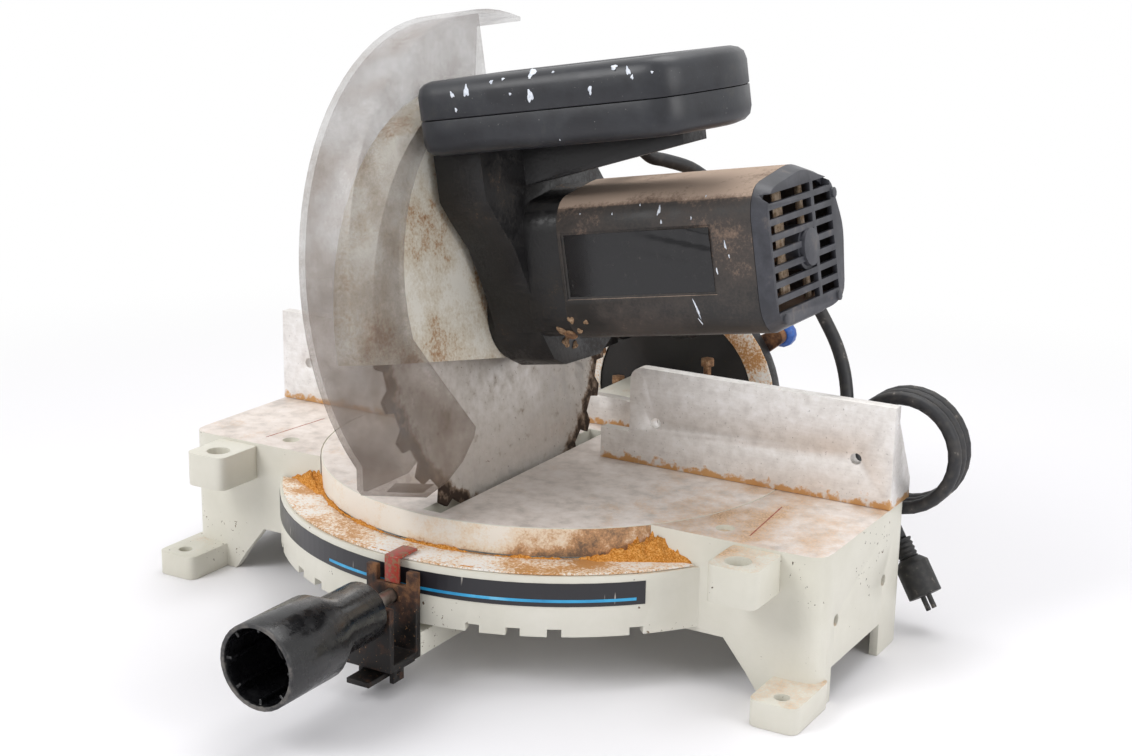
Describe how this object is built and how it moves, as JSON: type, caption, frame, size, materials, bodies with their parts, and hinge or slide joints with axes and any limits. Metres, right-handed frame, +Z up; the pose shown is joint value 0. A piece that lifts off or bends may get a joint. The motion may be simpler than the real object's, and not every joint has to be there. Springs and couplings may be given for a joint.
{
  "type": "compound mitre saw",
  "caption": "Compound mitre saw: tilting saw head with loop handle and clear blade guard, hinged behind a slotted turntable in a footed base with a fence, scale, lock knob and coiled cord",
  "frame": {"origin": "on the floor, at the centre of the saw's footprint, with the cord and its plug left out", "axes": "+X to the right along the fence as the user faces it, +Y towards the back, +Z up"},
  "size_m": [0.4711, 0.4902, 0.3629],
  "materials": {
    "enamel": "satin grey-green enamel on a casting",
    "scale_white": "worn white scale plate",
    "aluminium": "brushed and marked",
    "machined_table": "machined top with an enamelled skirt",
    "bright_steel": "plain steel",
    "black_steel": "black oxide, a little rusty",
    "rusty_steel": "rusty",
    "blade_steel": "ground plate with rust spots",
    "black_casting": "semi-gloss black paint on a casting",
    "winding": "copper winding on a core",
    "red_paint": "gloss",
    "black_plastic": "semi-gloss moulding",
    "grey_plastic": "satin moulding",
    "blue_plastic": "gloss",
    "clear_plastic": "smoky see-through plastic",
    "black_rubber": "matt",
    "cord": "matt sheath"
  },
  "bodies": {
    "base": {"base_casting": "enamel", "mitre_scale": "scale_white", "fence": "aluminium", "fence_bolt_1": "bright_steel", "fence_bolt_2": "bright_steel", "fence_bolt_3": "bright_steel", "fence_bolt_4": "bright_steel", "table_pivot_bolt": "bright_steel", "cord_coil": "cord", "cord_tail": "cord", "plug_sleeve": "black_rubber", "plug": "black_rubber"},
    "turntable": {"turntable": "machined_table", "lock_bracket": "black_steel", "mitre_pointer": "red_paint", "bevel_stop_left": "rusty_steel", "bevel_stop_right": "rusty_steel", "bevel_lock_stud": "bright_steel", "bevel_lock_washer": "bright_steel", "cord_table": "cord"},
    "mitre_lock": {"lock_knob": "black_plastic", "lock_screw": "bright_steel"},
    "detent": {"detent_lever": "black_steel"},
    "bevel_lock": {"bevel_lock_lever": "black_steel", "bevel_lock_knob": "blue_plastic"},
    "bevel": {"bevel_arm": "black_casting", "bevel_scale": "scale_white", "chop_shaft": "bright_steel", "chop_return_spring": "black_steel", "depth_stop_bolt": "rusty_steel", "cord_arm": "cord"},
    "lock_pin": {"head_lock_pin": "bright_steel"},
    "head": {"upper_guard": "enamel", "gear_case": "black_casting", "arbor_bearing": "bright_steel", "nose_bearing": "bright_steel", "rear_bearing": "bright_steel", "motor_housing": "black_plastic", "motor_end_cap": "grey_plastic", "motor_stator": "winding", "guard_pivot_screw": "bright_steel", "handle_lower": "black_plastic", "handle_upper": "black_plastic", "switch_body": "grey_plastic", "strain_relief": "black_rubber", "cord_head": "cord"},
    "spindle_lock": {"spindle_lock_button": "black_plastic"},
    "trigger": {"trigger": "grey_plastic"},
    "arbor": {"arbor_shaft": "bright_steel", "inner_flange": "bright_steel", "outer_flange": "bright_steel", "arbor_bolt": "black_steel", "arbor_gear": "black_steel", "blade": "blade_steel"},
    "motor": {"armature": "winding", "drive_pinion": "black_steel", "cooling_fan": "grey_plastic"},
    "blade_guard": {"clear_guard": "clear_plastic"}
  },
  "joints": [
    {"name": "mitre", "type": "hinge", "parent": "base", "child": "turntable", "pos_m": [0, 0.0529, 0], "axis": [0, 0, 1], "range_deg": [-45, 45]},
    {"name": "mitre_lock_turn", "type": "hinge", "parent": "turntable", "child": "mitre_lock", "pos_m": [0, -0.1561, 0.05], "axis": [0, -1, 0], "range_deg": [0, 360]},
    {"name": "detent_lift", "type": "hinge", "parent": "turntable", "child": "detent", "pos_m": [0, -0.1391, 0.0095], "axis": [-1, 0, 0], "range_deg": [0, 11], "stiffness_Nm_per_rad": 0.3, "springref_deg": -11.46},
    {"name": "bevel", "type": "hinge", "parent": "turntable", "child": "bevel", "pos_m": [0, 0.2129, 0.088], "axis": [0, -1, 0], "range_deg": [-9, 36], "deforming": ["cord_table"]},
    {"name": "bevel_lock_turn", "type": "hinge", "parent": "turntable", "child": "bevel_lock", "pos_m": [0, 0.2251, 0.088], "axis": [0, -1, 0], "range_deg": [0, 40]},
    {"name": "chop", "type": "hinge", "parent": "bevel", "child": "head", "pos_m": [-0.0097, 0.1889, 0.14924], "axis": [-0.9877, 0, -0.1564], "range_deg": [0, 42], "deforming": ["cord_head", "cord_arm"]},
    {"name": "lock_pin_slide", "type": "slide", "parent": "bevel", "child": "lock_pin", "axis": [0.9877, 0, 0.1564], "range_m": [-0.006, 0]},
    {"name": "blade_guard_turn", "type": "hinge", "parent": "head", "child": "blade_guard", "pos_m": [-0.01517, 0.0032, 0.18381], "axis": [0.9877, 0, 0.1564], "range_deg": [0, 76]},
    {"name": "blade_spin", "type": "hinge", "parent": "head", "child": "arbor", "pos_m": [-0.01517, 0.0032, 0.18381], "axis": [0.9877, 0, 0.1564], "continuous": true},
    {"name": "motor_spin", "type": "hinge", "parent": "head", "child": "motor", "pos_m": [-0.01955, 0.0229, 0.21146], "axis": [0.9877, 0, 0.1564], "continuous": true},
    {"name": "trigger_pull", "type": "slide", "parent": "head", "child": "trigger", "axis": [0, -1, 0], "range_m": [0, 0.006], "stiffness_N_per_m": 300, "springref_m": -0.003},
    {"name": "spindle_lock_push", "type": "slide", "parent": "head", "child": "spindle_lock", "axis": [0, -1, 0], "range_m": [0, 0.004], "stiffness_N_per_m": 400, "springref_m": -0.002}
  ],
  "couplings": [
    {"joint": "blade_guard_turn", "follows": "chop", "ratio": 1.8},
    {"joint": "motor_spin", "follows": "blade_spin", "ratio": -2.3}
  ]
}
